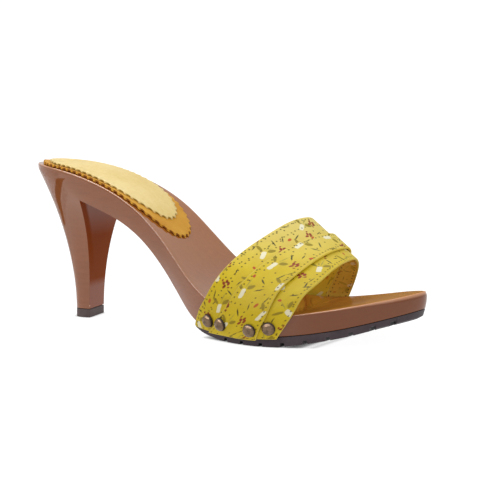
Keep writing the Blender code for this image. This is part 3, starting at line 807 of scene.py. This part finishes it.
def printedLeather(name, ground, strength, sheenAndShade, roughness):
    made, start = newFinish(name, Specular_IOR_Level=printLook["specular"])
    place = mapPlace(start, "printMap")
    grain = noise(start, place, *printLook["grain"])
    clouds = noise(start, place, *printLook["clouds"])
    height = objectPlace(start).parts()[2]
    colour = mixed(clouds, grain, printLook["cloudShare"]).over(*printLook["groundRange"]).blend(*ground)
    # painted sheen, paler towards the top
    colour = (height.over(*printLook["sheenHeights"]) * sheenAndShade).blend(colour, printLook["paintedSheen"])
    colour = (specks(start, place) * strength).blend(colour, printLook["speck"])
    tile = wanderingTile(start, place)
    for kind, rows in printShapes().items():
        colour = (printMask(start, tile, kind, rows) * strength).blend(colour, printLook[kind])
    hole = stitchHoles(start)
    colour = (hole * printLook["holeShare"]).blend(colour, printLook["dash"])
    # painted shade, deeper towards the lower edge
    shaded = height.over(*printLook["shadeHeights"]) * sheenAndShade * printLook["shadeShare"]
    colour = shaded.blend(colour, printLook["shade"])
    relief = grain * printLook["grainRelief"] + clouds * printLook["cloudRelief"]
    relief = relief - hole * printLook["holeRelief"]
    feed(made, Base_Color=colour, Roughness=grain * printLook["grainRough"] + roughness,
         Normal=bump(start, relief, printLook["reliefHeight"], printLook["reliefStrength"]))
    return made


cutLook = {
    "colours": (tint(206, 180, 44), tint(216, 194, 66)), "shadeShare": 0.35,
    # noises: scale, detail, roughness
    "fibre": (800.0, 3.0, 0.65), "clouds": (60.0, 3.0, 0.5), "fibreShare": 0.6, "colourRange": (0.35, 0.65),
    "fibreHeight": 0.08, "fibreStrength": 0.8, "specular": 0.3,
    # least roughness, more by fibres
    "roughness": (0.6, 0.2),
}


def cutLeather():
    made, start = newFinish("cutEdge", Specular_IOR_Level=cutLook["specular"])
    place = objectPlace(start)
    fibre = noise(start, place, *cutLook["fibre"])
    clouds = noise(start, place, *cutLook["clouds"])
    ground = mixed(fibre, clouds, cutLook["fibreShare"]).over(*cutLook["colourRange"])
    # painted shade, deeper towards the lower edge, as on the printed face
    shaded = place.parts()[2].over(*printLook["shadeHeights"]) * cutLook["shadeShare"]
    colour = shaded.blend(ground.blend(*cutLook["colours"]), printLook["shade"])
    least, byFibres = cutLook["roughness"]
    feed(made, Base_Color=colour, Roughness=fibre * byFibres + least,
         Normal=bump(start, fibre, cutLook["fibreHeight"], cutLook["fibreStrength"]))
    return made


# ground colours, strength of the print, share of the painted sheen and shade by height, least roughness
leatherLook = {
    "printedLeather": ((tint(208, 180, 12), tint(217, 192, 24)), 1.0, 0.6, 0.38),
    "printedBacking": ((tint(213, 184, 50), tint(222, 194, 62)), 0.5, 0.0, 0.6),
    "brownBacking": ((tint(206, 170, 62), tint(216, 182, 76)), 0.5, 0.0, 0.7),
}


def strap():
    points, normals = strapSurface()
    face, back, suede = (printedLeather(name, *look) for name, look in leatherLook.items())
    cut = cutLeather()
    bandPiece("rear", points, normals, [face, back, cut])
    bandPiece("front", points, normals, [face, suede, cut])
    bandPiece("middle", points, normals, [face, back, cut])


strap()


# dome nails

nailLook = {
    "radius": 3.2, "sides": 32, "levels": 1, "perSide": 4,
    # radius share and height in mm of the rings above the foot
    "rings": ((1.0, 0.25), (0.97, 0.8), (0.88, 1.5), (0.74, 2.05), (0.5, 2.5), (0.24, 2.74), (0.12, 2.68)),
    # radius shares: where the bright crown ends, its soft edge, and the dark pit in its middle; the dark
    # ring past the crown and the pit are painted shade
    "crownEnd": 0.99, "crownSoft": 0.11, "crownPit": 0.14,
    "normalDigits": 2, "placeDigits": 6,
    "dark": tint(46, 33, 27), "light": tint(124, 102, 81),
    # noises: scale, detail, roughness
    "tarnish": (420.0, 4.0, 0.65), "dents": (600.0, 1.0, 0.5),
    "tarnishShare": 0.9, "crownShare": 0.6, "cleanRange": (0.66, 1.14),
    "metallic": 0.85, "roughest": 0.75, "polish": 0.49, "specular": 0.2,
    "dentHeight": 0.3, "dentStrength": 0.8,
}


def nailMetal():
    made, start = newFinish("agedBrass", Specular_IOR_Level=nailLook["specular"])
    place = objectPlace(start)
    tarnish = noise(start, place, *nailLook["tarnish"])
    dents = noise(start, place, *nailLook["dents"])
    # tarnish noise, with painted shade at the nail's foot ring and in its middle pit
    cleanAndUnshaded = tarnish * nailLook["tarnishShare"] + attribute(start, "crown") * nailLook["crownShare"]
    cleanAndUnshaded = cleanAndUnshaded.over(*nailLook["cleanRange"])
    colour = cleanAndUnshaded.blend(nailLook["dark"], nailLook["light"])
    feed(made, Base_Color=colour, Metallic=cleanAndUnshaded * nailLook["metallic"],
         Roughness=nailLook["roughest"] - cleanAndUnshaded * nailLook["polish"],
         Normal=bump(start, dents, nailLook["dentHeight"], nailLook["dentStrength"]))
    return made


def nailHead():
    radius = nailLook["radius"] * mm
    bpy.ops.object.select_all(action="DESELECT")
    bpy.ops.mesh.primitive_circle_add(vertices=nailLook["sides"], radius=radius, fill_type="NGON")
    piece = bpy.context.object
    bpy.ops.object.mode_set(mode="EDIT")
    bpy.ops.mesh.select_all(action="SELECT")
    share, height = 1.0, 0.0
    for nextShare, nextHeight in nailLook["rings"]:
        rise = (0, 0, (nextHeight - height) * mm)
        bpy.ops.mesh.extrude_region_move(TRANSFORM_OT_translate={"value": rise})
        bpy.ops.transform.resize(value=(nextShare / share, nextShare / share, 1.0))
        share, height = nextShare, nextHeight
    bpy.ops.mesh.select_all(action="SELECT")
    bpy.ops.mesh.normals_make_consistent(inside=False)
    bpy.ops.object.mode_set(mode="OBJECT")
    crown = piece.data.attributes.new("crown", "FLOAT", "POINT")
    for vertex in piece.data.vertices:
        out = vertex.co.xy.length / radius
        inside = max(0.0, min(1.0, (nailLook["crownEnd"] - out) / nailLook["crownSoft"]))
        crown.data[vertex.index].value = inside * min(1.0, out / nailLook["crownPit"])
    subdivide(piece, nailLook["levels"])
    return piece


def nailSeat(mesh):  # middle of the foot and the way out from it
    sides = {}
    for face in mesh.polygons:
        key = tuple(round(c, nailLook["normalDigits"]) for c in face.normal)
        sides.setdefault(key, []).append(face)
    foot = max(sides.values(), key=lambda faces: sum(face.area for face in faces))
    rim = {tuple(round(c, nailLook["placeDigits"]) for c in mesh.vertices[i].co)
           for face in foot for i in face.vertices}
    return sum((Vector(point) for point in rim), Vector()) / len(rim), -foot[0].normal


def nails():
    metal = nailMetal()
    pattern = nailHead()
    for side in ("outer", "inner"):
        for number in range(1, nailLook["perSide"] + 1):
            nodeName = f"stud_{side}_{number}"
            base, out = nailSeat(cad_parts[nodeName].data)
            only(pattern)
            bpy.ops.object.duplicate()
            piece = bpy.context.object
            piece.name = f"domeNail{side.capitalize()}{number}"
            piece.matrix_world = Matrix.Translation(base) @ out.to_track_quat("Z", "Y").to_matrix().to_4x4()
            only(piece)
            bpy.ops.object.transform_apply(location=True, rotation=True, scale=True)
            dress(piece, [metal])
            settle(piece, [nodeName])
    bpy.data.objects.remove(pattern, do_unlink=True)
    print("dome nails set")


nails()


# floor, light and camera, in m

stageLook = {
    "floor": (tint(98, 98, 98), tint(101, 101, 101)), "floorSize": 8.0, "floorGlow": 0.97,
    "floorSpecular": 0.2, "contactShadowReach": 0.0028, "contactSamples": 8,
    # noise: scale, detail, roughness
    "haze": (3.0, 2.0, 0.5),
    # least roughness of the floor, more by haze
    "floorRoughness": (0.75, 0.1),
    "sky": (1.0, 1.0, 1.0, 1.0), "skyStrength": 0.8, "backStrength": 1.05,
    # cards behind the heel, mirrored by gloss alone: name, shade, height, corners in turn
    "cards": (("darkCard", tint(92, 92, 92), 0.04,
               ((-0.106, -0.0075), (-0.113, 0.0), (-0.132, -0.001), (-0.148, 0.002), (-0.152, 0.0),
                (-0.155, -0.013), (-0.205, -0.049), (-0.228, -0.096), (-0.148, -0.03), (-0.134, -0.013),
                (-0.123, -0.012))),
              ("greyCard", tint(238, 238, 238), 0.0002,
               ((-0.20, -0.03), (-0.17, 0.4), (-1.3, 0.5), (-1.3, -0.60)))),
    # name, place, aim, size, power in W, lights matt surfaces too
    "lamps": (("topStrip", (-0.75, -0.2, 1.5), (-0.75, 0.0, 0.0), (1.6, 0.14), 5.6, True),
              ("topBox", (-0.3, -0.45, 1.6), (-0.3, -0.45, 0.0), (2.6, 3.5), 125.0, False),
              ("sideBox", (-1.3, -1.2, 0.9), (0.0, 0.0, 0.05), (0.9, 1.2), 2.0, True),
              ("toeBox", (1.5, -0.5, 0.8), (0.0, 0.0, 0.05), (0.8, 1.0), 1.5, True)),
}
cameraLook = {"place": (0.34997, -0.58900, 0.11175), "aim": (0.01957, 0.00119, 0.0391),
              "lens": 101.97, "sensor": 36.0}  # lens and sensor in mm


def paleFloor():
    bpy.ops.object.select_all(action="DESELECT")
    bpy.ops.mesh.primitive_plane_add(size=stageLook["floorSize"], location=(0, 0, 0))
    floor = bpy.context.object
    floor.name = "paleFloor"
    made, start = newFinish("palePaper", Specular_IOR_Level=stageLook["floorSpecular"],
                            Emission_Strength=stageLook["floorGlow"])
    # the glow fades where the sole is near the floor: a painted contact shadow
    openTo = start.node("ShaderNodeAmbientOcclusion", {"samples": stageLook["contactSamples"]},
                        {"Color": stageLook["sky"], "Distance": stageLook["contactShadowReach"]}, "Color")
    haze = noise(start, objectPlace(start), *stageLook["haze"])
    least, byHaze = stageLook["floorRoughness"]
    feed(made, Base_Color=haze.blend(*stageLook["floor"]), Roughness=haze * byHaze + least,
         Emission_Color=openTo)
    dress(floor, [made])


def mirrorCard(name, shade, height, corners):
    bpy.ops.object.select_all(action="DESELECT")
    bpy.ops.mesh.primitive_circle_add(vertices=len(corners), fill_type="NGON", location=(0, 0, 0))
    card = bpy.context.object
    card.name = name
    for index, corner in zip(card.data.polygons[0].vertices, corners):
        card.data.vertices[index].co = (*corner, height)
    dress(card, newFinish(name + "Paper", Base_Color=shade, Roughness=1.0, Specular_IOR_Level=0.0)[:1])
    card.visible_camera = card.visible_diffuse = card.visible_shadow = False


def tent():
    world = bpy.data.worlds.new("softTent")
    world.use_nodes = True
    start = Wire(world.node_tree)
    lightPath = start.node("ShaderNodeLightPath", {}, {}, "Is Camera Ray")
    strength = lightPath.over(0.0, 1.0, stageLook["skyStrength"], stageLook["backStrength"])
    sky = world.node_tree.nodes["Background"]
    sky.inputs["Color"].default_value = stageLook["sky"]
    world.node_tree.links.new(strength.socket, sky.inputs["Strength"])
    bpy.context.scene.world = world


def aimed(name, data, place, aim):
    made = bpy.data.objects.new(name, data)
    made.location = place
    made.rotation_euler = (Vector(aim) - Vector(place)).to_track_quat("-Z", "Y").to_euler()
    bpy.context.scene.collection.objects.link(made)
    return made


def areaLamp(name, place, aim, size, power, lightsMatt):
    data = bpy.data.lights.new(name, "AREA")
    data.shape = "RECTANGLE"
    data.size, data.size_y = size
    data.energy = power
    lamp = aimed(name, data, place, aim)
    lamp.visible_camera, lamp.visible_diffuse = False, lightsMatt


def studio():
    paleFloor()
    for card in stageLook["cards"]:
        mirrorCard(*card)
    tent()
    for lamp in stageLook["lamps"]:
        areaLamp(*lamp)
    data = bpy.data.cameras.new("photoCamera")
    data.lens, data.sensor_width = cameraLook["lens"], cameraLook["sensor"]
    bpy.context.scene.camera = aimed("photoCamera", data, cameraLook["place"], cameraLook["aim"])
    bpy.context.scene.view_settings.view_transform = "Standard"


studio()
print("floor, lamps and camera in place")
